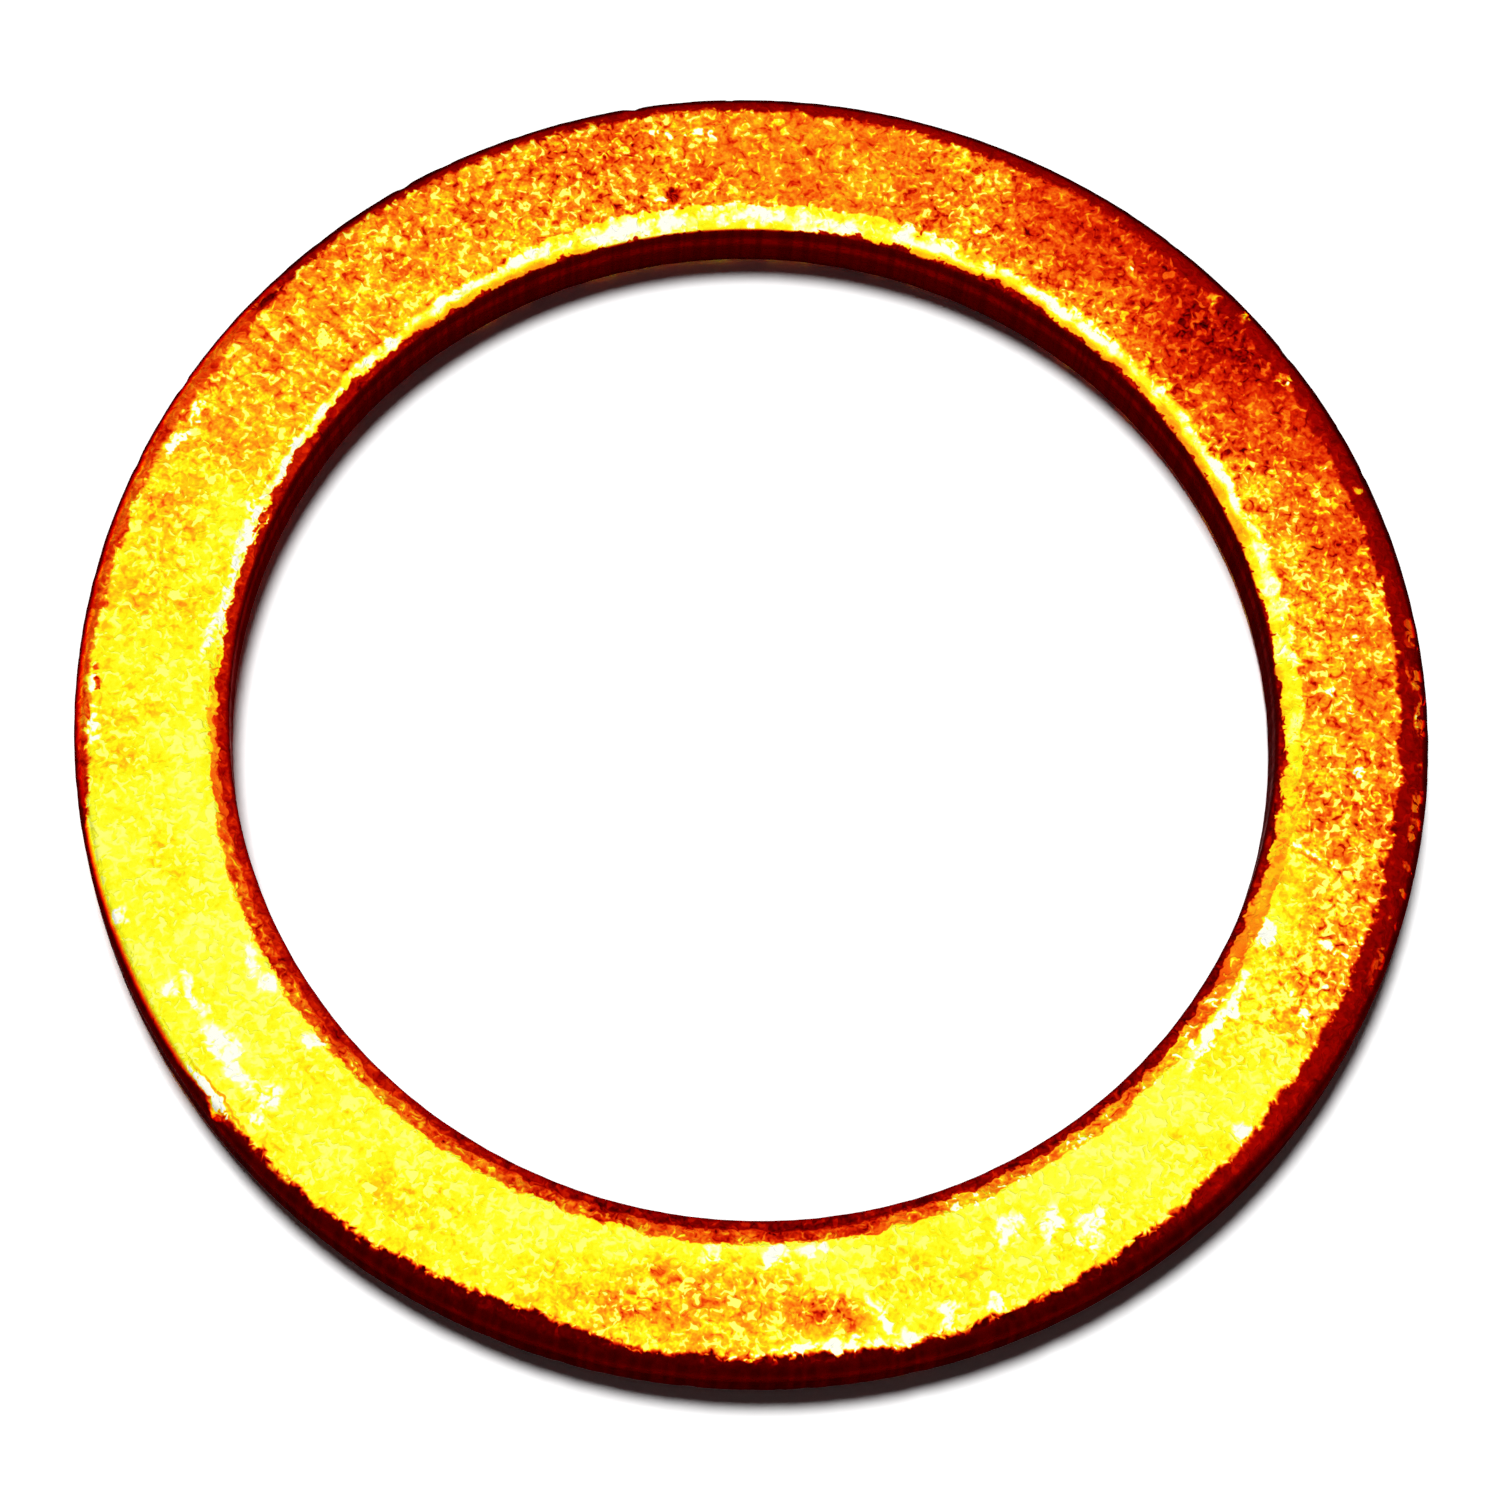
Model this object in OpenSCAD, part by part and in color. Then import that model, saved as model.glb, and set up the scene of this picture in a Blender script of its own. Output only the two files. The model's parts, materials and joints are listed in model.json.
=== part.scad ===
// Copper crush washer: one flat ring stamped from soft sheet, in millimetres.
// The origin is on the bore's axis in the plane of the lower face, and +Z is the ring's axis.

/* [Ring] */
// Diameter of the bore, a free fit on an 18 mm screw plug
bore_d = 18.35; // [12:0.05:40]
// Width of the ring from the bore to the rim, which makes it 23.8 mm across
ring_w = 2.725; // [1.8:0.025:5]
// Thickness of the sheet that the ring is stamped from
sheet_t = 1.5; // [1:0.05:3]

/* [Edges] */
// Radius of the tumbled edges round the rim, above and below
rim_edge_r = 0.4; // [0.05:0.01:0.45]
// Width of the roll-over that the punch leaves round the upper mouth of the bore
rollover_w = 0.44; // [0.2:0.01:0.8]
// Slope of the roll-over down towards the bore, in degrees
rollover_angle = 14; // [5:1:30]
// Radius where the roll-over turns down into the bore
upper_mouth_r = 0.12; // [0.04:0.01:0.18]
// Radius of the bore's lower edge
lower_mouth_r = 0.2; // [0.05:0.01:0.4]

/* [Hidden] */

$fn = 180;

bore_r = bore_d / 2;
rim_r = bore_r + ring_w;

// How far each cut runs past the surface that it opens
overrun = sheet_t / 10;

// Centre of the upper mouth's rounding. Its arc touches the bore's wall, and it crosses the roll-over's
// slope at half the slope's angle, which is the faint edge that tumbling leaves there.
upper_mouth_x = bore_r + upper_mouth_r;
upper_mouth_z = sheet_t
    - (rollover_w - upper_mouth_r) * tan(rollover_angle)
    - upper_mouth_r * cos(rollover_angle / 2) / cos(rollover_angle);

// What the tumbling takes off a square corner of the section, to leave an arc of radius r.
// The arc's centre is at x and z, and the corner is on the side that side_x and side_z give.
module rounding_cut(x, z, r, side_x, side_z) {
    translate([x, z]) difference() {
        polygon([
            [0, 0],
            [side_x * (r + overrun), 0],
            [side_x * (r + overrun), side_z * (r + overrun)],
            [0, side_z * (r + overrun)]
        ]);
        circle(r = r);
    }
}

// What the punch drags down round the upper mouth: a long slope from the upper face
module rollover_slope_cut() {
    polygon([
        [bore_r - overrun, sheet_t - (rollover_w + overrun) * tan(rollover_angle)],
        [bore_r + rollover_w + overrun / tan(rollover_angle), sheet_t + overrun],
        [bore_r - overrun, sheet_t + overrun]
    ]);
}

// What the tumbling takes off between that slope and the bore's wall
module upper_mouth_cut() {
    translate([upper_mouth_x, upper_mouth_z]) difference() {
        polygon([
            [-upper_mouth_r - overrun, 0],
            [0, 0],
            [
                -(upper_mouth_r + overrun) * sin(rollover_angle),
                (upper_mouth_r + overrun) * cos(rollover_angle)
            ],
            [-upper_mouth_r - overrun, upper_mouth_r + overrun]
        ]);
        circle(r = upper_mouth_r);
    }
}

// Half of the ring cut through its axis: X is the distance from the axis and Y is the height
module ring_section() {
    difference() {
        translate([bore_r, 0]) square([ring_w, sheet_t]);
        rounding_cut(rim_r - rim_edge_r, sheet_t - rim_edge_r, rim_edge_r, 1, 1);
        rounding_cut(rim_r - rim_edge_r, rim_edge_r, rim_edge_r, 1, -1);
        rounding_cut(bore_r + lower_mouth_r, lower_mouth_r, lower_mouth_r, -1, -1);
        rollover_slope_cut();
        upper_mouth_cut();
    }
}

// The whole ring, solid copper with no filling and no fold
module washer_ring() {
    color("darkorange") rotate_extrude() ring_section();
}

washer_ring();
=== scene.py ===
import json
import math

import bpy
from mathutils import Matrix, Vector, noise


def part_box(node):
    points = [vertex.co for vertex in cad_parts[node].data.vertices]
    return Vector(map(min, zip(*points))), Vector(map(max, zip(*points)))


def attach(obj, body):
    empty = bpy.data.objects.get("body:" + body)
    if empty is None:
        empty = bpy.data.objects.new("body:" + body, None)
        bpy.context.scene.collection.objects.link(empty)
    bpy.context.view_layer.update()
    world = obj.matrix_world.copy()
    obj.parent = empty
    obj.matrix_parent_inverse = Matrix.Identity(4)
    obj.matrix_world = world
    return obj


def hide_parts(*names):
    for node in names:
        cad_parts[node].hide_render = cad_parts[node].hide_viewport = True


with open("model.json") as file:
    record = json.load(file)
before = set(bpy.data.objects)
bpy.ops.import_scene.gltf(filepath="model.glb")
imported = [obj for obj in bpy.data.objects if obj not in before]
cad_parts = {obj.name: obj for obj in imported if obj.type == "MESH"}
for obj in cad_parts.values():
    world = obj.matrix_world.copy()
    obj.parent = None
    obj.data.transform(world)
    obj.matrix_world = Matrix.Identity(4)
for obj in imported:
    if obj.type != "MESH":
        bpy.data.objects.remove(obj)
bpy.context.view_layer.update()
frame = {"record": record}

# Copper crush washer
# The real piece is one flat ring of soft copper. It is stamped from sheet, annealed until it is
# dead soft, and tumbled in a barrel, which rounds its edges and leaves fine dimples all over.
# Nothing is fixed to it: it lies loose under the head of a plug, and is crushed there once.

mm = 0.001

ring_low, ring_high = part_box("washer_ring")
bore_mount = next(m for m in frame["record"]["mounts"] if m["name"] == "bore")
bore_r = bore_mount["dims"]["r_mm"] * mm
rim_r = (ring_high.x - ring_low.x) / 2
sheet_t = ring_high.z - ring_low.z

rim_edge_r = 0.4 * mm
rollover_w = 0.44 * mm
rollover_slope = math.radians(14)
upper_mouth_r = 0.12 * mm
lower_mouth_r = 0.2 * mm

steps_round = 1100


def straight(start, end, steps):
    """Points of the section from start up to end, without it, each with its outward normal."""
    run = (Vector(end) - Vector(start)).normalized()
    normal = Vector((-run.y, run.x))
    return [(Vector(start).lerp(Vector(end), step / steps), normal) for step in range(steps)]


def rounded(centre, radius, first, last, steps):
    """Points of the section round a corner, from the first angle up to the last, without it."""
    points = []
    for step in range(steps):
        angle = math.radians(first + (last - first) * step / steps)
        normal = Vector((math.cos(angle), math.sin(angle)))
        points.append((Vector(centre) + normal * radius, normal))
    return points


# The section is walked clockwise from the start of the upper face, as distance from the axis and
# height. The last number of each stretch is its count of steps.
slope_deg = math.degrees(rollover_slope)
mouth_centre = Vector((
    bore_r + upper_mouth_r,
    sheet_t
    - (rollover_w - upper_mouth_r) * math.tan(rollover_slope)
    - upper_mouth_r / math.cos(rollover_slope),
))
slope_foot = mouth_centre + Vector((-math.sin(rollover_slope), math.cos(rollover_slope))) * upper_mouth_r
face_start = Vector((bore_r + rollover_w, sheet_t))

section = [
    *straight(face_start, (rim_r - rim_edge_r, sheet_t), 30),
    *rounded((rim_r - rim_edge_r, sheet_t - rim_edge_r), rim_edge_r, 90, 0, 10),
    *straight((rim_r, sheet_t - rim_edge_r), (rim_r, rim_edge_r), 7),
    *rounded((rim_r - rim_edge_r, rim_edge_r), rim_edge_r, 0, -90, 6),
    *straight((rim_r - rim_edge_r, 0), (bore_r + lower_mouth_r, 0), 14),
    *rounded((bore_r + lower_mouth_r, lower_mouth_r), lower_mouth_r, -90, -180, 4),
    *straight((bore_r, lower_mouth_r), (bore_r, mouth_centre.y), 9),
    *rounded(mouth_centre, upper_mouth_r, 180, 90 + slope_deg, 4),
    *straight(slope_foot, face_start, 6),
]

# Relief that the stamping and the barrel leave, in the depth that each takes off the plain section
wave_size = 2.6 * mm
wave_depth = 0.006 * mm
dimple_size = 0.27 * mm
dimple_depth = 0.006 * mm
ragged_size = 0.3 * mm
ragged_width = 0.07 * mm
crown_start = 11.0 * mm
crown_drop = 0.022 * mm
nick_size = 0.35 * mm
nick_depth = 0.03 * mm
# Nicks come only where their noise rises above this, and from there they deepen twice as fast
nick_start = 0.25
nick_gain = 2
# How steeply a dent's sides rise from its middle
dent_steepness = 1.6
# The upward part of a normal tells the upper face, and the rounded edges of the rim
face_normal = 0.9
edge_normals = (0.05, 0.98)

# Dents and pits: angle round the ring and distance from the axis, then length along the ring,
# width across it, depth, and how far the dent is turned from the ring's own direction
dents = [
    (158.5, 11.30, 0.75, 0.16, 0.030, 40),
    (162.0, 11.62, 0.35, 0.14, 0.030, 60),
    (105.5, 9.95, 0.22, 0.16, 0.035, 0),
    (88.0, 10.53, 0.20, 0.12, 0.025, 30),
    (103.0, 11.20, 0.95, 0.10, 0.014, -6),
    (184.5, 11.49, 0.20, 0.16, 0.035, 0),
    (341.8, 9.75, 0.30, 0.22, 0.035, 20),
    (0.6, 10.60, 0.24, 0.16, 0.028, 70),
    (8.6, 10.15, 0.18, 0.12, 0.020, 30),
    (14.2, 10.69, 0.22, 0.12, 0.020, 10),
    (47.5, 11.55, 0.20, 0.12, 0.028, 60),
    (49.8, 11.50, 0.18, 0.10, 0.022, 0),
    (42.7, 10.93, 0.16, 0.12, 0.020, 0),
    (40.2, 11.43, 0.20, 0.12, 0.025, -20),
    (316.6, 11.52, 0.28, 0.20, 0.035, 30),
    (267.0, 10.18, 0.20, 0.14, 0.022, 0),
    (222.0, 11.15, 0.60, 0.30, 0.018, 10),
    (287.0, 10.87, 0.30, 0.12, 0.022, 60),
    (170.5, 9.26, 0.40, 0.14, 0.030, 0),
    (154.0, 9.30, 0.22, 0.12, 0.025, 0),
]


def dent_depth(point):
    """How deep the dents are at a point of the upper face."""
    depth = 0.0
    for angle_deg, radius, length, width, deepest, turn in dents:
        angle = math.radians(angle_deg)
        away = point.xy - Vector((math.cos(angle), math.sin(angle))) * radius * mm
        if away.length > length * mm:
            continue
        along = angle + math.pi / 2 + math.radians(turn)
        u = (away.x * math.cos(along) + away.y * math.sin(along)) / (length * mm / 2)
        v = (away.y * math.cos(along) - away.x * math.sin(along)) / (width * mm / 2)
        depth += deepest * mm * math.exp(-dent_steepness * (u * u + v * v))
    return depth


def relief(point, distance, normal):
    """Depth that tumbling and stamping take off the plain section at a point, in metres."""
    depth = wave_depth * (0.5 + noise.noise(point / wave_size))
    depth += dimple_depth * (0.5 + noise.noise(point / dimple_size))
    upward = max(normal.y, 0.0)
    if normal.y > face_normal:
        ragged = face_start.x + ragged_width * (0.5 + noise.noise(point / ragged_size))
        depth += max(ragged - max(distance, face_start.x), 0.0) * math.tan(rollover_slope)
        depth += crown_drop * max((distance - crown_start) / (rim_r - crown_start), 0.0) ** 2
    if upward > 0:
        depth += dent_depth(point) * upward
    if edge_normals[0] < abs(normal.y) < edge_normals[1] and distance > face_start.x:
        depth += nick_depth * max(noise.noise(point / nick_size) - nick_start, 0.0) * nick_gain
    return max(depth, 0.0)


points = []
for step in range(steps_round):
    angle = 2 * math.pi * step / steps_round
    outward = Vector((math.cos(angle), math.sin(angle), 0))
    for place, normal in section:
        plain = outward * place.x + Vector((0, 0, place.y))
        into = outward * normal.x + Vector((0, 0, normal.y))
        depth = relief(plain, place.x, normal)
        points.append(plain - into * depth)

count = len(section)
quads = []
for step in range(steps_round):
    here = step * count
    there = (step + 1) % steps_round * count
    for k in range(count):
        after = (k + 1) % count
        quads.append((here + k, there + k, there + after, here + after))

ring_mesh = bpy.data.meshes.new("copper_ring")
ring_mesh.from_pydata([tuple(point) for point in points], [], quads)
ring_mesh.shade_smooth()
ring = bpy.data.objects.new("copper_ring", ring_mesh)
bpy.context.scene.collection.objects.link(ring)


def hex_colour(code):
    """Turns an sRGB hex colour into the linear colour that a node takes."""
    channels = [int(code[k:k + 2], 16) / 255 for k in (1, 3, 5)]
    return (*[c / 12.92 if c <= 0.04045 else ((c + 0.055) / 1.055) ** 2.4 for c in channels], 1.0)


def add_node(tree, kind, settings, inputs):
    """Adds a node, sets its attributes, and gives each named input a value or a link."""
    node = tree.nodes.new(kind)
    for name, value in settings.items():
        setattr(node, name, value)
    for socket, value in inputs.items():
        if isinstance(value, bpy.types.NodeSocket):
            tree.links.new(value, node.inputs[socket])
        else:
            node.inputs[socket].default_value = value
    return node


# Soft copper, annealed and barrel tumbled, with painted light and shade in its tint
# Annealing leaves heat tints, from pale gold through orange to deep red. The dark red on the rim,
# the walls, the mouth and the bore is painted shade, and the bright slope and spots are painted
# highlights. Tumbling burnishes the high spots, so the tint breaks up into short worms, which are
# partly painted highlight and shade.
copper = bpy.data.materials.new("tumbled_annealed_copper_with_painted_light")
copper.use_nodes = True
tree = copper.node_tree
tree.nodes.clear()

# Tint along the scale from painted highlight on bright metal to dark oxide and painted shade
tint_colours = [
    (0.00, "#FFFFF0"),
    (0.04, "#FFFF96"),
    (0.09, "#FEFE28"),
    (0.14, "#FEF614"),
    (0.20, "#FECD14"),
    (0.32, "#FE9614"),
    (0.46, "#F85E0D"),
    (0.60, "#E22604"),
    (0.74, "#AC0601"),
    (0.87, "#640101"),
    (1.00, "#2D0000"),
]

# Marks on the upper face, read off the photo. Angles run anticlockwise round the ring, seen from
# above, and 97 degrees is its far side in the picture. Each mark is an ellipse: angle and distance
# from the axis of its middle, its half length along the ring and half width across it in mm, how
# far it is turned from the ring's own direction, and its change of tint. First the heat tints:
heat_tints = [
    (48, 12.0, 7.4, 3.8, 0, 0.30),
    (343, 9.8, 2.4, 0.9, 0, -0.09),
    (157, 10.3, 2.4, 1.4, 0, -0.05),
    (46, 11.2, 2.2, 0.9, 8, 0.08),
    (283, 10.92, 0.95, 0.52, -10, 0.17),
    (265, 11.00, 0.80, 0.40, 0, 0.08),
    (356, 11.6, 2.4, 1.2, 0, 0.06),
    (97, 9.7, 4.5, 1.4, 0, 0.07),
    (128, 10.5, 2.4, 1.8, 0, -0.05),
    (272, 10.85, 2.6, 1.6, 0, 0.13),
    (314, 10.6, 3.4, 1.5, 0, -0.05),
    (212, 10.9, 5.0, 1.6, 0, -0.05),
]

# Streaks and scratches, painted highlights on the face and the rim's edge, and a few darker places
scratches_and_painted_highlights = [
    (215.0, 10.99, 0.62, 0.14, 2, -0.12),
    (220.4, 11.02, 0.60, 0.27, 6, -0.15),
    (223.6, 11.10, 0.45, 0.19, 4, -0.13),
    (214.8, 9.84, 0.44, 0.17, 0, -0.11),
    (223.4, 11.72, 0.80, 0.11, 0, -0.60),
    (224.6, 11.58, 1.20, 0.05, 0, 0.20),
    (301.0, 10.22, 0.50, 0.28, 20, -0.14),
    (304.5, 10.50, 0.45, 0.20, 50, -0.11),
    (307.5, 10.86, 0.55, 0.30, 35, -0.14),
    (171.0, 9.52, 2.40, 0.13, 0, -0.12),
    (283.0, 11.46, 2.80, 0.12, 0, -0.11),
    (165.4, 9.33, 0.33, 0.06, 0, -0.50),
    (287.0, 11.00, 0.16, 0.50, 20, -0.20),
    (330.5, 9.75, 1.25, 0.13, 0, -0.22),
    (342.8, 10.90, 0.50, 0.07, 84, -0.30),
    (351.0, 10.00, 0.48, 0.05, 65, 0.20),
    (351.5, 10.04, 0.54, 0.06, 65, -0.27),
    (40.2, 11.45, 0.18, 0.07, 80, -0.50),
    (105.0, 11.19, 0.44, 0.08, -22, -0.26),
    (126.0, 11.05, 0.30, 0.07, -35, -0.18),
    (157.6, 11.30, 0.34, 0.18, 30, -0.34),
    (161.0, 11.46, 0.42, 0.12, -28, -0.34),
    (187.0, 11.57, 0.90, 0.13, 0, -0.15),
    (101.3, 11.13, 0.36, 0.09, -14, -0.34),
    (145.0, 11.60, 0.50, 0.12, 0, 0.26),
    (6.6, 11.68, 0.55, 0.06, -6, -0.36),
    (10.0, 11.62, 0.30, 0.05, 10, -0.30),
]

# Round marks: angle and distance from the axis, reach in mm, and change of tint. Heat tints again:
heat_spots = [
    (24, 11.5, 1.4, 0.09),
    (66, 10.3, 1.9, 0.08),
    (45, 10.2, 1.5, 0.05),
    (125, 9.8, 1.6, 0.035),
    (126, 10.6, 1.2, -0.05),
    (113, 11.4, 1.3, 0.05),
    (127, 11.3, 1.1, 0.06),
    (328, 11.2, 1.3, -0.05),
    (233, 11.3, 1.2, -0.03),
]

# Painted glints: small bright spots on the face, in dents and along the rim and the slope
painted_glints = [
    (278.3, 9.80, 0.30, -0.15),
    (281.4, 9.82, 0.19, -0.14),
    (283.2, 9.78, 0.15, -0.12),
    (271.6, 9.80, 0.28, -0.06),
    (276.0, 11.50, 0.12, -0.20),
    (279.8, 11.50, 0.13, -0.22),
    (282.6, 11.45, 0.16, -0.22),
    (284.4, 11.38, 0.14, -0.20),
    (286.6, 11.48, 0.12, -0.20),
    (289.0, 11.44, 0.17, -0.18),
    (292.4, 11.46, 0.15, -0.18),
    (227.1, 10.90, 0.30, -0.10),
    (227.3, 11.31, 0.16, -0.12),
    (217.8, 9.81, 0.20, -0.10),
    (225.4, 9.75, 0.18, -0.12),
    (206.0, 11.68, 0.22, -0.14),
    (213.6, 11.33, 0.22, -0.08),
    (293.0, 11.22, 0.24, -0.14),
    (297.0, 11.38, 0.20, -0.16),
    (341.6, 9.76, 0.24, -0.30),
    (323.5, 11.32, 0.26, -0.18),
    (335.8, 10.92, 0.20, -0.24),
    (0.6, 10.60, 0.19, -0.46),
    (8.6, 10.15, 0.14, -0.42),
    (14.2, 10.70, 0.14, -0.36),
    (7.4, 10.43, 0.11, -0.30),
    (11.5, 11.20, 0.13, -0.20),
    (28.0, 11.63, 0.10, -0.45),
    (31.3, 11.14, 0.10, -0.34),
    (42.7, 10.93, 0.10, -0.36),
    (47.0, 11.60, 0.13, -0.60),
    (49.9, 11.52, 0.15, -0.45),
    (58.0, 10.95, 0.10, -0.28),
    (72.5, 10.02, 0.11, -0.20),
    (84.8, 10.85, 0.14, -0.16),
    (116.8, 10.95, 0.12, -0.20),
    (106.5, 9.86, 0.15, -0.30),
    (344.4, 11.28, 0.15, -0.26),
    (340.6, 11.30, 0.15, -0.24),
    (339.2, 11.08, 0.12, -0.22),
    (337.2, 10.56, 0.15, -0.20),
    (328.8, 9.80, 0.16, -0.20),
    (342.6, 9.62, 0.13, -0.26),
    (336.6, 9.76, 0.13, -0.20),
    (1.6, 11.72, 0.10, -0.30),
    (356.4, 11.71, 0.11, -0.26),
    (352.6, 11.66, 0.11, -0.32),
    (12.8, 11.66, 0.13, -0.30),
]

# Pits with oxide left in them
oxide_pits = [
    (184.6, 11.49, 0.11, 0.70),
    (183.6, 11.52, 0.10, 0.40),
    (104.6, 9.97, 0.22, 0.52),
    (107.9, 10.00, 0.10, 0.40),
    (0.2, 10.44, 0.12, 0.26),
    (77.6, 9.88, 0.18, 0.32),
    (88.0, 11.50, 0.15, 0.26),
    (110.5, 10.90, 0.15, 0.24),
    (113.0, 10.62, 0.13, 0.24),
    (267.0, 10.22, 0.18, 0.34),
]

position = add_node(tree, "ShaderNodeTexCoord", {}, {}).outputs["Object"]
place_mm = add_node(
    tree, "ShaderNodeVectorMath", {"operation": "SCALE"}, {0: position, "Scale": 1 / mm}
).outputs["Vector"]
flat_mm = add_node(
    tree, "ShaderNodeVectorMath", {"operation": "MULTIPLY"}, {0: place_mm, 1: (1, 1, 0)}
).outputs["Vector"]
axis_mm = add_node(
    tree, "ShaderNodeVectorMath", {"operation": "LENGTH"}, {0: flat_mm}
).outputs["Value"]
height_mm = add_node(tree, "ShaderNodeSeparateXYZ", {}, {0: place_mm}).outputs["Z"]


def maths(operation, first, second, third=0.0):
    """Works out one sum of two or three values, any of which may be a link."""
    return add_node(
        tree, "ShaderNodeMath", {"operation": operation}, {0: first, 1: second, 2: third}
    ).outputs[0]


def eased(value, low, high, at_low, at_high):
    """Turns a value between low and high into one between at_low and at_high, with soft ends."""
    return add_node(
        tree,
        "ShaderNodeMapRange",
        {"interpolation_type": "SMOOTHSTEP"},
        {"Value": value, "From Min": low, "From Max": high, "To Min": at_low, "To Max": at_high},
    ).outputs["Result"]


def along(direction_deg):
    """How far a point of the ring lies along one direction, in mm."""
    angle = math.radians(direction_deg)
    return add_node(
        tree,
        "ShaderNodeVectorMath",
        {"operation": "DOT_PRODUCT"},
        {0: flat_mm, 1: (math.cos(angle), math.sin(angle), 0)},
    ).outputs["Value"]


def sided(direction_deg, start_mm, end_mm, at_start, at_end):
    """A value that changes across the ring in one direction, between two distances from the axis."""
    return eased(along(direction_deg), start_mm, end_mm, at_start, at_end)


def mixed(share, first, second):
    """Goes from the first value to the second as share goes from 0 to 1."""
    return add_node(tree, "ShaderNodeMix", {}, {"Factor": share, "A": first, "B": second}).outputs["Result"]


def grain(place, size_mm, detail, swirl=0.0):
    """A value between 0 and 1 that wanders over a surface in steps of about one size."""
    return add_node(
        tree,
        "ShaderNodeTexNoise",
        {},
        {"Vector": place, "Scale": 1 / size_mm, "Detail": detail, "Roughness": 0.6, "Distortion": swirl},
    ).outputs["Fac"]


def marked(value, place, marks, core):
    """Adds elliptical marks to a tint, place or share; core is the part of each that changes fully."""
    for angle_deg, radius, half_length, half_width, turn_deg, change in marks:
        angle = math.radians(angle_deg)
        own_place = add_node(
            tree,
            "ShaderNodeMapping",
            {"vector_type": "TEXTURE"},
            {
                "Vector": place,
                "Location": (radius * math.cos(angle), radius * math.sin(angle), 0),
                "Rotation": (0, 0, angle + math.pi / 2 + math.radians(turn_deg)),
                "Scale": (half_length, half_width, 1),
            },
        ).outputs["Vector"]
        away = add_node(
            tree, "ShaderNodeVectorMath", {"operation": "LENGTH"}, {0: own_place}
        ).outputs["Value"]
        value = maths("ADD", value, eased(away, core, 1.0, change, 0.0))
    return value


spot_core = 0.35


def spotted(value, place, spots):
    """Adds round marks to a tint, place or share; the inner third of each changes fully."""
    for angle_deg, radius, reach, change in spots:
        angle = math.radians(angle_deg)
        away = add_node(
            tree,
            "ShaderNodeVectorMath",
            {"operation": "DISTANCE"},
            {0: place, 1: (radius * math.cos(angle), radius * math.sin(angle), 0)},
        ).outputs["Value"]
        value = maths("ADD", value, eased(away, spot_core * reach, reach, change, 0.0))
    return value


# Worms: a swirled grain, about 0.1 mm wide, over a still finer grain, and gathered in clusters by a
# coarser one. The tops of the grain are lighter and its hollows darker, partly burnished metal and
# oxide, partly painted highlight and painted shade.
worm_size_mm = 0.16
worm_swirl = 0.8
worm_depth = 0.005 * mm
fine_size_mm = 0.09
cluster_size_mm = 0.42
# On the far right fewer tops of the grain are lighter
sparse_spots = [(78, 10.6, 4.6, -0.024)]

worm_grain = grain(place_mm, worm_size_mm, 1.0, worm_swirl)
worm_height = eased(worm_grain, 0.43, 0.58, 0.0, 1.0)
fine_grain = grain(place_mm, fine_size_mm, 1.0)
fine_part = eased(fine_grain, 0.32, 0.68, -0.5, 0.5)
worm_part = eased(worm_grain, 0.30, 0.70, 0.26, -0.26)
sparse_grain = spotted(worm_grain, flat_mm, sparse_spots)
worm_part = maths("ADD", worm_part, eased(sparse_grain, 0.585, 0.655, 0.0, -0.62))
worm_part = maths("ADD", worm_part, eased(worm_grain, 0.29, 0.40, 0.55, 0.0))
cluster_part = eased(grain(place_mm, cluster_size_mm, 1.0), 0.32, 0.68, -0.5, 0.5)

# Streaks from the bore towards the rim, which on the walls become the punch's upright shear lines
streak_width_mm = 0.16
streak_length_mm = 0.9
face_middle_mm = 10.5

outward = add_node(tree, "ShaderNodeVectorMath", {"operation": "NORMALIZE"}, {0: flat_mm}).outputs["Vector"]
streak_place = add_node(
    tree,
    "ShaderNodeVectorMath",
    {"operation": "SCALE"},
    {0: outward, "Scale": face_middle_mm / streak_width_mm},
).outputs["Vector"]
streak_run = maths("MULTIPLY", axis_mm, 1 / streak_length_mm)
streak_place = add_node(
    tree,
    "ShaderNodeVectorMath",
    {"operation": "ADD"},
    {
        0: streak_place,
        1: add_node(tree, "ShaderNodeCombineXYZ", {}, {"Z": streak_run}).outputs[0],
    },
).outputs["Vector"]
streak_part = eased(grain(streak_place, 1.0, 1.0), 0.35, 0.65, -0.5, 0.5)

# The mottle is the sum of these parts. In one place its worms are drawn out into streaks.
worm_share = 0.9
fine_share = 0.42
cluster_share = 0.45
least_streak_share = 0.05
streaky_marks = [(148, 10.6, 3.2, 2.0, 0, 0.30)]

streak_share = marked(least_streak_share, flat_mm, streaky_marks, 0.3)
mottle = maths("MULTIPLY_ADD", worm_part, worm_share, maths("MULTIPLY", fine_part, fine_share))
mottle = maths("MULTIPLY_ADD", cluster_part, cluster_share, mottle)
mottle = mixed(streak_share, mottle, streak_part)

# Each mark and edge is made ragged by a grain of its own and by the mottle
wander_size_mm = 0.45
wander_reach_mm = 0.25
edge_wander_mm = 0.30
mottle_shift_mm = (0.055, -0.045, 0)
edge_mottle_mm = 0.06

wander = add_node(
    tree, "ShaderNodeTexNoise", {}, {"Vector": place_mm, "Scale": 1 / wander_size_mm, "Detail": 3.0}
)
wander_mm = add_node(
    tree,
    "ShaderNodeVectorMath",
    {"operation": "MULTIPLY_ADD"},
    {
        0: wander.outputs["Color"],
        1: (2 * wander_reach_mm, 2 * wander_reach_mm, 0),
        2: (-wander_reach_mm, -wander_reach_mm, 0),
    },
).outputs["Vector"]
ragged_place = add_node(
    tree, "ShaderNodeVectorMath", {"operation": "ADD"}, {0: flat_mm, 1: wander_mm}
).outputs["Vector"]
ragged_place = add_node(
    tree,
    "ShaderNodeVectorMath",
    {"operation": "MULTIPLY_ADD"},
    {0: mottle, 1: mottle_shift_mm, 2: ragged_place},
).outputs["Vector"]
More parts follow.
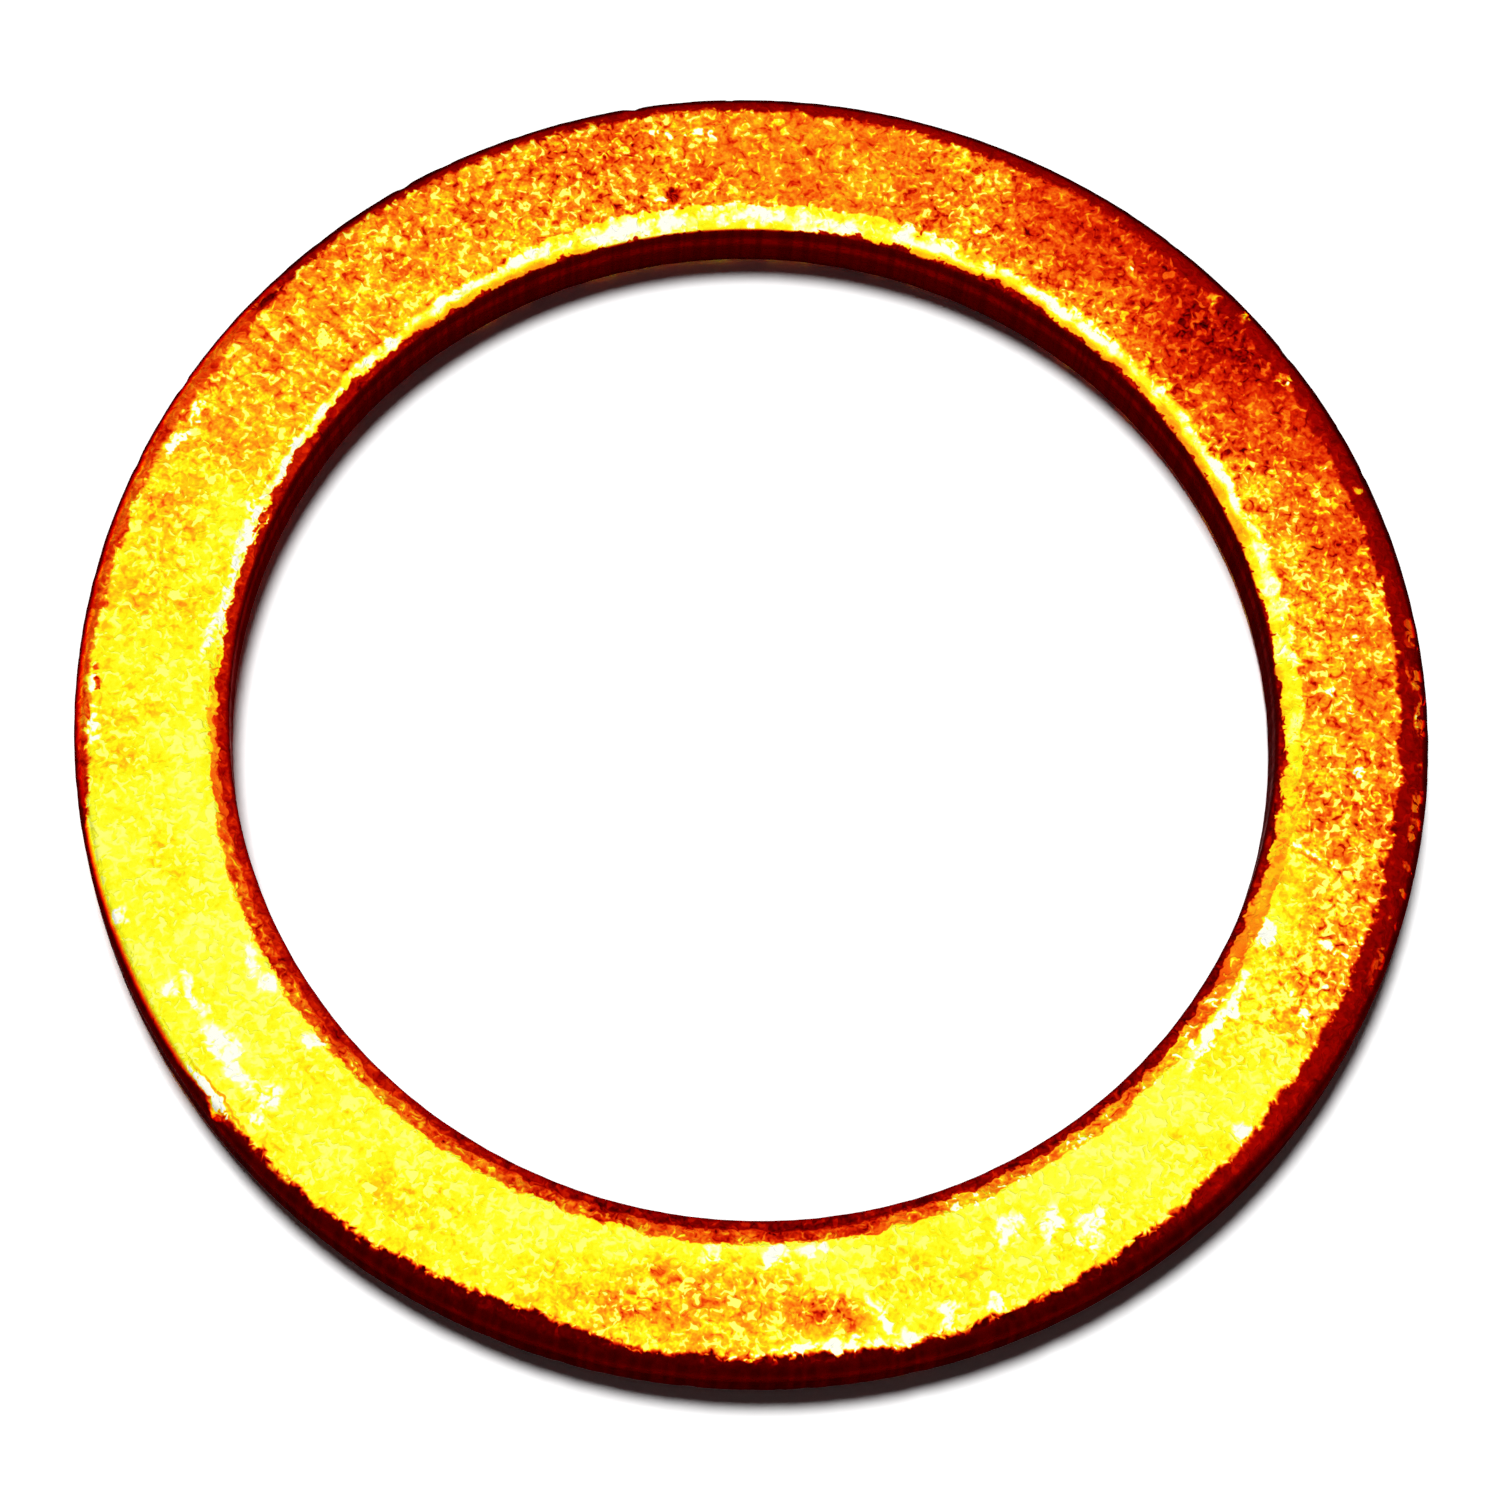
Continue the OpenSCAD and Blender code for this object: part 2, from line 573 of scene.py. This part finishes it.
wander_start_mm = maths("SUBTRACT", axis_mm, edge_wander_mm / 2)
ragged_mm = maths("MULTIPLY_ADD", wander.outputs["Fac"], edge_wander_mm, wander_start_mm)
ragged_mm = maths("MULTIPLY_ADD", mottle, edge_mottle_mm, ragged_mm)

# Tint of each zone of the surface, from where its change across the ring starts to where it ends.
# The slope's is painted highlight and shade, the rim's, wall's, mouth's and bore's painted shade,
# and the face's partly painted reflection.
face_tints_and_painted_reflection = (0.125, 0.335)
slope_painted_light_tints = (0.53, 0.01)
rim_shade_tints = (0.77, 0.90)
wall_shade_tints = (0.95, 0.98)
mouth_shade_tints = (0.82, 0.71)
bore_shade_tints = (0.83, 0.925)

# Where one zone goes over into the next, as distances from the axis in mm
bore_edge = (9.19, 9.24)
mouth_edge = (9.33, 9.37)
slope_edge = (9.59, 9.63)
rim_edge = (11.49, 11.60)
nick_edge = (11.58, 11.64)
wall_edge = (11.66, 11.81)

# Heights in mm: the slope's tint stays above the first, and the small marks fade in between the others
wall_top_mm = 1.2
marks_fade_mm = (1.05, 1.25)

# The face runs from yellow on the near left to orange on the far right, partly heat tint and partly
# a painted reflection that is brightest on the near left, with soft clouds in it
cloud_size_mm = 1.3
cloud_change = 0.035
bore_side_change = -0.06

tint = sided(70, -4.2, 3.4, *face_tints_and_painted_reflection)
tint = maths("ADD", tint, eased(axis_mm, 9.6, 10.6, bore_side_change, 0.0))
clouds = eased(grain(place_mm, cloud_size_mm, 1.0), 0.3, 0.7, -cloud_change, cloud_change)
tint = maths("ADD", tint, clouds)
tint = marked(tint, ragged_place, heat_tints, 0.2)
tint = spotted(tint, ragged_place, heat_spots)

# The mottle shows most where the tint is strong, and less or more in a few places. In the yellow it
# leaves only pale flecks, and the tint stays above a floor.
calm_spots = [
    (9, 11.3, 1.9, -0.14),
    (91, 10.9, 3.2, -0.16),
    (128, 10.9, 2.2, -0.07),
    (338, 10.8, 2.0, 0.12),
]
palest_tint = 0.087
palest_blend = 0.03
fleck_change = -0.024

rising_share = eased(tint, 0.08, 0.33, 0.08, 0.48)
mottle_share = maths("MULTIPLY", rising_share, eased(tint, 0.33, 0.60, 1.0, 0.58))
mottle_share = spotted(mottle_share, flat_mm, calm_spots)
mottled_tint = maths("MULTIPLY_ADD", mottle, mottle_share, tint)
tint = maths("SMOOTH_MAX", mottled_tint, palest_tint, palest_blend)
pale_flecks = eased(worm_grain, 0.45, 0.66, 0.0, fleck_change)
pale_flecks = maths("MULTIPLY", pale_flecks, eased(tint, 0.09, 0.13, 1.0, 0.0))
tint = maths("ADD", tint, pale_flecks)

# The slope round the mouth has a painted highlight on the far side and painted shade on the near side
slope_painted_highlight_marks = [(312, 9.4, 4.8, 2.0, 0, -0.20)]
slope_painted_highlight_spots = [
    (333, 9.4, 2.4, -0.10),
    (345, 9.4, 2.0, -0.08),
    (236, 9.4, 3.4, -0.10),
    (198, 9.4, 2.2, -0.07),
]
slope_mottle_mm = 2.4

slope_painted_light_tint = eased(maths("MULTIPLY_ADD", mottle, slope_mottle_mm, along(88)), -3.8, 0.6, *slope_painted_light_tints)
slope_painted_light_tint = marked(slope_painted_light_tint, ragged_place, slope_painted_highlight_marks, 0.4)
slope_painted_light_tint = maths("ADD", slope_painted_light_tint, sided(8, 8.5, 9.3, 0.0, 0.08))
slope_painted_light_tint = spotted(slope_painted_light_tint, flat_mm, slope_painted_highlight_spots)
slope_share = sided(88, -4.0, 1.0, 0.36, 0.10)
slope_painted_light_tint = maths("MULTIPLY_ADD", mottle, slope_share, slope_painted_light_tint)

# On the far side the slope's two edges carry painted shade, darker than its middle
slope_middle_mm = 9.46
from_middle = maths("ABSOLUTE", maths("SUBTRACT", ragged_mm, slope_middle_mm), 0.0)
painted_edge_shade = maths("MULTIPLY", eased(from_middle, 0.04, 0.14, 0.0, 0.20), sided(80, -3.0, 1.0, 0.0, 1.0))
painted_edge_shade = maths("MULTIPLY", painted_edge_shade, sided(97, 8.5, 9.1, 1.0, 0.2))
painted_edge_shade = maths("MULTIPLY", painted_edge_shade, sided(6, 8.5, 9.2, 1.0, 0.1))
painted_edge_shade = maths("ADD", painted_edge_shade, maths("MULTIPLY_ADD", cluster_part, 0.10, 0.02))
slope_painted_light_tint = maths("ADD", slope_painted_light_tint, painted_edge_shade)
slope_place = maths("ADD", ragged_mm, sided(180, 8.6, 9.4, 0.0, 0.10))
slope_place = maths("ADD", slope_place, sided(97, 8.4, 9.3, 0.0, -0.08))
slope_reach = eased(slope_place, *slope_edge, 1.0, 0.0)
slope_reach = maths("MULTIPLY", slope_reach, maths("GREATER_THAN", height_mm, wall_top_mm))
tint = mixed(slope_reach, tint, slope_painted_light_tint)

# Painted shade on the rim's rounded edge, lighter on the left. Marks, spots and sides move its
# border with the face: outwards by a negative number of mm, inwards by a positive one.
rim_border_marks = [
    (254, 11.6, 2.8, 1.0, 0, 0.16),
    (209, 11.7, 3.6, 0.9, 0, -0.20),
    (64, 11.6, 2.0, 0.9, 0, -0.08),
    (292, 11.6, 2.0, 0.9, 0, -0.09),
]
rim_border_spots = [
    (331, 11.5, 3.4, 0.06),
    (303, 11.5, 1.6, -0.03),
    (354, 11.5, 4.2, 0.06),
    (149, 11.5, 2.9, 0.085),
    (184, 11.6, 1.4, -0.05),
]
rim_place = maths("MULTIPLY_ADD", along(195), -0.014, ragged_mm)
rim_place = maths("ADD", rim_place, sided(168, 10.2, 11.2, 0.0, 0.12))
rim_place = marked(rim_place, ragged_place, rim_border_marks, 0.3)
rim_place = spotted(rim_place, flat_mm, rim_border_spots)
rim_shade_tint = maths("ADD", sided(272, 7.0, 10.0, *rim_shade_tints), sided(168, 10.2, 11.2, 0.0, -0.25))
rim_shade_tint = maths("ADD", rim_shade_tint, sided(357, 9.5, 11.3, 0.0, 0.03))
rim_shade_tint = maths("MULTIPLY_ADD", mottle, sided(168, 10.0, 11.2, 0.07, 0.22), rim_shade_tint)
tint = mixed(eased(rim_place, *rim_edge, 0.0, 1.0), tint, rim_shade_tint)

# Nicks on the right of the rim, which lighten its painted shade in small spots
nick_change = -0.36
nicks = eased(wander.outputs["Fac"], 0.55, 0.58, 0.0, nick_change)
nicks = maths("MULTIPLY", nicks, eased(worm_grain, 0.38, 0.50, 0.0, 1.0))
nicks = maths("MULTIPLY", nicks, sided(359, 11.0, 11.4, 0.0, 1.0))
nicks = maths("MULTIPLY", nicks, eased(axis_mm, *nick_edge, 0.0, 1.0))
tint = maths("ADD", tint, nicks)

# The rim's wall carries the darkest painted shade, with one painted reflection along it, and the
# shear lines across it
rim_painted_reflection_mm = 1.10
shear_change = 0.04
rim_painted_reflection = maths("ABSOLUTE", maths("SUBTRACT", height_mm, rim_painted_reflection_mm), 0.0)
rim_painted_reflection = eased(rim_painted_reflection, 0.03, 0.22, -0.08, 0.0)
wall_shade_tint = maths("ADD", rim_painted_reflection, sided(75, -8.0, 8.0, *wall_shade_tints))
wall_shade_tint = maths("MULTIPLY_ADD", streak_part, shear_change, wall_shade_tint)
wall_place = maths("ADD", axis_mm, sided(172, 9.0, 11.5, 0.0, -0.06))
wall_place = maths("ADD", wall_place, sided(355, 9.5, 11.5, 0.0, -0.05))
wall_place = maths("ADD", wall_place, sided(207, 9.8, 11.4, 0.0, -0.035))
tint = mixed(eased(wall_place, *wall_edge, 0.0, 1.0), tint, wall_shade_tint)

# The mouth's rounding carries painted shade. Its border with the slope is moved in the same way.
mouth_border_spots = [
    (340, 9.3, 2.4, 0.05),
    (67, 9.3, 1.2, -0.06),
    (104, 9.3, 2.6, 0.05),
    (142, 9.3, 1.7, -0.05),
    (29, 9.3, 1.9, 0.045),
    (4, 9.3, 1.4, -0.03),
    (83, 9.3, 1.1, -0.03),
    (53, 9.3, 0.9, -0.02),
]
mouth_place = maths("ADD", ragged_mm, sided(70, 0.5, 5.0, -0.035, 0.10))
mouth_place = spotted(mouth_place, flat_mm, mouth_border_spots)
mouth_shade_tint = maths("MULTIPLY_ADD", mottle, 0.14, sided(195, 3.0, 8.0, *mouth_shade_tints))
tint = mixed(eased(mouth_place, *mouth_edge, 1.0, 0.0), tint, mouth_shade_tint)

# The bore's wall carries painted shade, darkest on the far side, with one painted reflection round
# it and the shear lines across it
bore_painted_reflection_mm = 0.95
bore_painted_reflection = maths("ABSOLUTE", maths("SUBTRACT", height_mm, bore_painted_reflection_mm), 0.0)
bore_painted_reflection = eased(bore_painted_reflection, 0.05, 0.26, -0.07, 0.0)
bore_shade_tint = maths("ADD", bore_painted_reflection, sided(75, -9.0, 5.0, *bore_shade_tints))
bore_shade_tint = maths("MULTIPLY_ADD", streak_part, shear_change, bore_shade_tint)
tint = mixed(eased(axis_mm, *bore_edge, 1.0, 0.0), tint, bore_shade_tint)

# The small marks come last, broken up by the worms, and stay off the walls
change = marked(0.0, ragged_place, scratches_and_painted_highlights, 0.3)
change = spotted(change, ragged_place, painted_glints + oxide_pits)
change = maths("MULTIPLY", change, eased(height_mm, *marks_fade_mm, 0.0, 1.0))
tint = maths("MULTIPLY_ADD", change, eased(worm_grain, 0.40, 0.60, 0.6, 1.2), tint)

ramp = add_node(tree, "ShaderNodeValToRGB", {}, {"Fac": tint})
stops = ramp.color_ramp.elements
stops[0].position, stops[0].color = tint_colours[0][0], hex_colour(tint_colours[0][1])
stops[1].position, stops[1].color = tint_colours[-1][0], hex_colour(tint_colours[-1][1])
for place, code in tint_colours[1:-1]:
    stops.new(place).color = hex_colour(code)

bump = add_node(
    tree, "ShaderNodeBump", {}, {"Height": worm_height, "Distance": worm_depth, "Strength": 1.0}
).outputs["Normal"]

# The darkest tint, mostly the painted shade on the rim, the walls, the mouth and the bore, is duller
# than the metal
metal_roughness = (0.24, 0.36)
dark_tint_dulling = 0.30
dark_tint_range = (0.76, 0.95)
roughness = maths(
    "ADD",
    eased(fine_grain, 0.3, 0.7, *metal_roughness),
    eased(tint, *dark_tint_range, 0.0, dark_tint_dulling),
)
surface = add_node(
    tree,
    "ShaderNodeBsdfPrincipled",
    {},
    {
        "Base Color": ramp.outputs["Color"],
        "Metallic": 1.0,
        "Specular Tint": ramp.outputs["Color"],
        "Roughness": roughness,
        "Normal": bump,
    },
)
add_node(tree, "ShaderNodeOutputMaterial", {}, {"Surface": surface.outputs[0]})
ring_mesh.materials.append(copper)

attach(ring, "root")
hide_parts("washer_ring")

# Table top
# A plain sheet of white card, matt, on which the ring lies. It is not part of the object. It is let
# down by a hair, so that it doesn't share a plane with the ring's underside. To the camera and in
# the copper it is a clean white, as in the photo, while the light it throws is that of real card.
floor_half = 400 * mm
floor_gap = 0.002 * mm
lighting_white = (0.8, 0.8, 0.8, 1)
showing_white = (1.12, 1.12, 1.12, 1)

floor_mesh = bpy.data.meshes.new("white_card")
floor_mesh.from_pydata(
    [
        (-floor_half, -floor_half, 0),
        (floor_half, -floor_half, 0),
        (floor_half, floor_half, 0),
        (-floor_half, floor_half, 0),
    ],
    [],
    [(0, 1, 2, 3)],
)
floor = bpy.data.objects.new("white_card", floor_mesh)
floor.location.z = -floor_gap
bpy.context.scene.collection.objects.link(floor)

card = bpy.data.materials.new("matt_white_card")
card.use_nodes = True
card_tree = card.node_tree
card_tree.nodes.clear()
rays = add_node(card_tree, "ShaderNodeLightPath", {}, {})
seen = add_node(
    card_tree,
    "ShaderNodeMath",
    {"operation": "MAXIMUM"},
    {0: rays.outputs["Is Camera Ray"], 1: rays.outputs["Is Glossy Ray"]},
).outputs[0]
seen = add_node(
    card_tree, "ShaderNodeMath", {"operation": "MAXIMUM"}, {0: seen, 1: rays.outputs["Is Transmission Ray"]}
).outputs[0]
whiteness = add_node(
    card_tree,
    "ShaderNodeMix",
    {"data_type": "RGBA"},
    {"Factor": seen, 6: lighting_white, 7: showing_white},
).outputs[2]
card_surface = add_node(card_tree, "ShaderNodeBsdfDiffuse", {}, {"Color": whiteness})
add_node(card_tree, "ShaderNodeOutputMaterial", {}, {"Surface": card_surface.outputs[0]})
floor_mesh.materials.append(card)

# Light
# A key lamp from just behind the zenith draws the tight shadow, and the studio's white ceiling
# is what the copper shows. The ceiling darkens away from its middle, and the backdrop is white low
# down. Both light the matt card hardly at all, as the shadow in the photo is nearly black.
key_strength = 3.3
key_width_deg = 14
key_from = Vector((-0.12, 0.235, 1))
ceiling_middle = Vector((-0.10, 0.05, 1))
ceiling_full_deg = 38
ceiling_end_deg = 66
ceiling_level = 1.03
dim_level = 0.45
backdrop_level = 1.0
# Upward part of a direction: the backdrop is full below the first and gone above the second
backdrop_heights = (0.10, 0.35)
level_on_matt = 0.01

key = bpy.data.lights.new("key", "SUN")
key.energy = key_strength
key.angle = math.radians(key_width_deg)
key_object = bpy.data.objects.new("key", key)
key_object.rotation_euler = key_from.to_track_quat("Z", "Y").to_euler()
key_object.visible_glossy = False
bpy.context.scene.collection.objects.link(key_object)

world = bpy.data.worlds.new("studio")
world.use_nodes = True
world_tree = world.node_tree
world_tree.nodes.clear()
direction = add_node(world_tree, "ShaderNodeTexCoord", {}, {}).outputs["Generated"]
towards = add_node(
    world_tree,
    "ShaderNodeVectorMath",
    {"operation": "DOT_PRODUCT"},
    {0: direction, 1: tuple(ceiling_middle.normalized())},
).outputs["Value"]
glow = add_node(
    world_tree,
    "ShaderNodeMapRange",
    {"interpolation_type": "SMOOTHSTEP"},
    {
        "Value": towards,
        "From Min": math.cos(math.radians(ceiling_end_deg)),
        "From Max": math.cos(math.radians(ceiling_full_deg)),
        "To Min": dim_level,
        "To Max": ceiling_level,
    },
).outputs["Result"]
upward = add_node(world_tree, "ShaderNodeSeparateXYZ", {}, {0: direction}).outputs["Z"]
backdrop = add_node(
    world_tree,
    "ShaderNodeMapRange",
    {"interpolation_type": "SMOOTHSTEP"},
    {
        "Value": upward,
        "From Min": backdrop_heights[0],
        "From Max": backdrop_heights[1],
        "To Min": backdrop_level,
        "To Max": dim_level,
    },
).outputs["Result"]
studio_level = add_node(
    world_tree, "ShaderNodeMath", {"operation": "MAXIMUM"}, {0: glow, 1: backdrop}
).outputs[0]
world_rays = add_node(world_tree, "ShaderNodeLightPath", {}, {})
level = add_node(
    world_tree,
    "ShaderNodeMix",
    {},
    {"Factor": world_rays.outputs["Is Diffuse Ray"], "A": studio_level, "B": level_on_matt},
).outputs["Result"]
background = add_node(world_tree, "ShaderNodeBackground", {}, {"Color": (1, 1, 1, 1), "Strength": level})
add_node(world_tree, "ShaderNodeOutputWorld", {}, {"Surface": background.outputs[0]})
bpy.context.scene.world = world

# Camera
# It looks down on the ring from the near side, 70.7 degrees above the table, from a short way off.
camera_elevation = math.radians(70.74)
camera_roll = math.radians(-6.52)
camera_distance = 95.2 * mm
target = Vector((0, -0.36 * mm, 0.26 * mm))
pixels_across = 1500
pixels_per_mm = 56.52
near_clip = 1 * mm
far_clip = 10000 * mm

back = Vector((0, -math.cos(camera_elevation), math.sin(camera_elevation)))
right = Vector((1, 0, 0))
up = back.cross(right)
camera_x = right * math.cos(camera_roll) - up * math.sin(camera_roll)
camera_y = right * math.sin(camera_roll) + up * math.cos(camera_roll)

camera = bpy.data.cameras.new("camera")
camera.sensor_width = 36.0
camera.lens = pixels_per_mm * (camera_distance / mm) / pixels_across * camera.sensor_width
camera.clip_start = near_clip
camera.clip_end = far_clip
camera_object = bpy.data.objects.new("camera", camera)
turn = Matrix((camera_x, camera_y, back)).transposed().to_4x4()
camera_object.matrix_world = Matrix.Translation(target + back * camera_distance) @ turn
bpy.context.scene.collection.objects.link(camera_object)
bpy.context.scene.camera = camera_object

bpy.context.scene.view_settings.view_transform = "Standard"
